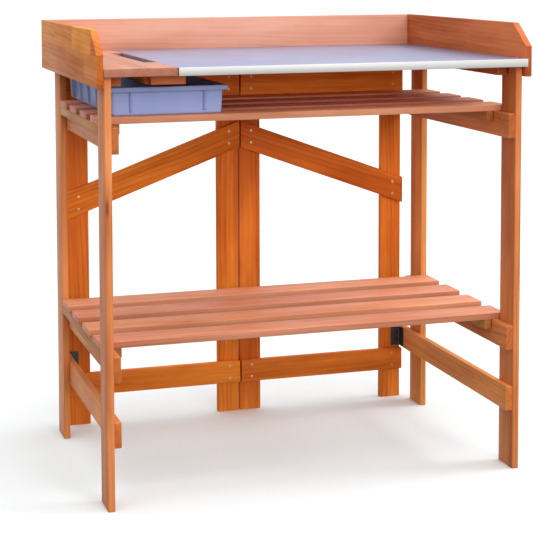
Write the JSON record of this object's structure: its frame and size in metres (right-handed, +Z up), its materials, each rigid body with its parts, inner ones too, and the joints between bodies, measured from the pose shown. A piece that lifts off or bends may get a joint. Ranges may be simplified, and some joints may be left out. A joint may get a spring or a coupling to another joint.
{
  "type": "potting bench",
  "caption": "Wooden potting bench with a zinc worktop, upstands on its sides and back, a sweeping slot over a plastic tray, slatted shelves and a hinged frame that folds.",
  "frame": {"origin": "on the ground, under the middle of the box around the bench", "axes": "+Z up, +X to the right of a person standing at the front, +Y to the back; the front has the zinc's folded edge and the side with the slot is -X"},
  "size_m": [0.892, 0.615, 0.915],
  "materials": {
    "frame_wood": "stained and oiled softwood",
    "worktop_wood": "stained and oiled softwood",
    "shelf_wood": "stained and oiled softwood",
    "zinc": "dull zinc sheet",
    "hinge_steel": "black coated steel",
    "screw_steel": "zinc plated",
    "tray_plastic": "satin moulded plastic"
  },
  "bodies": {
    "frame": {"left_front_leg": "frame_wood", "left_rear_leg": "frame_wood", "right_front_leg": "frame_wood", "right_rear_leg": "frame_wood", "left_upper_rail": "frame_wood", "left_shelf_rail": "frame_wood", "left_bottom_rail": "frame_wood", "right_upper_rail": "frame_wood", "right_shelf_rail": "frame_wood", "right_bottom_rail": "frame_wood", "left_outer_post": "frame_wood", "left_centre_post": "frame_wood", "right_centre_post": "frame_wood", "right_outer_post": "frame_wood", "left_back_top_rail": "frame_wood", "right_back_top_rail": "frame_wood", "left_brace": "frame_wood", "right_brace": "frame_wood", "left_back_low_rail": "frame_wood", "right_back_low_rail": "frame_wood", "frame_screws": "screw_steel", "corner_hinge_rail_leaves": "hinge_steel", "corner_hinge_post_leaves": "hinge_steel", "corner_hinge_pins": "hinge_steel", "centre_hinge_left_leaves": "hinge_steel", "centre_hinge_right_leaves": "hinge_steel", "centre_hinge_pins": "hinge_steel", "hinge_screws": "screw_steel"},
    "worktop": {"slot_board": "worktop_wood", "zinc_core_board": "worktop_wood", "zinc_sheet": "zinc", "left_upstand": "worktop_wood", "right_upstand": "worktop_wood", "back_upstand": "worktop_wood", "left_cleat": "worktop_wood", "slot_left_cleat": "worktop_wood", "slot_right_cleat": "worktop_wood", "right_cleat": "worktop_wood", "slot_front_batten": "worktop_wood", "slot_rear_batten": "worktop_wood", "top_screws": "screw_steel"},
    "upper_shelf": {"upper_slat_1": "shelf_wood", "upper_slat_2": "shelf_wood", "upper_slat_3": "shelf_wood", "upper_slat_4": "shelf_wood", "upper_left_batten": "shelf_wood", "upper_right_batten": "shelf_wood", "upper_left_strip": "shelf_wood", "upper_right_strip": "shelf_wood", "upper_shelf_screws": "screw_steel"},
    "lower_shelf": {"lower_slat_1": "shelf_wood", "lower_slat_2": "shelf_wood", "lower_slat_3": "shelf_wood", "lower_slat_4": "shelf_wood", "lower_left_batten": "shelf_wood", "lower_right_batten": "shelf_wood", "lower_left_strip": "shelf_wood", "lower_right_strip": "shelf_wood", "lower_shelf_screws": "screw_steel"},
    "tray": {"tray": "tray_plastic"}
  },
  "joints": [
    {"name": "worktop_lift", "type": "slide", "parent": "frame", "child": "worktop", "axis": [0, 0, 1], "range_m": [0, 0.12]},
    {"name": "upper_shelf_lift", "type": "slide", "parent": "frame", "child": "upper_shelf", "axis": [0, 0, 1], "range_m": [0, 0.006]},
    {"name": "lower_shelf_lift", "type": "slide", "parent": "frame", "child": "lower_shelf", "axis": [0, 0, 1], "range_m": [0, 0.36]},
    {"name": "tray_slide", "type": "slide", "parent": "upper_shelf", "child": "tray", "axis": [0, -1, 0], "range_m": [0, 0.28]}
  ]
}
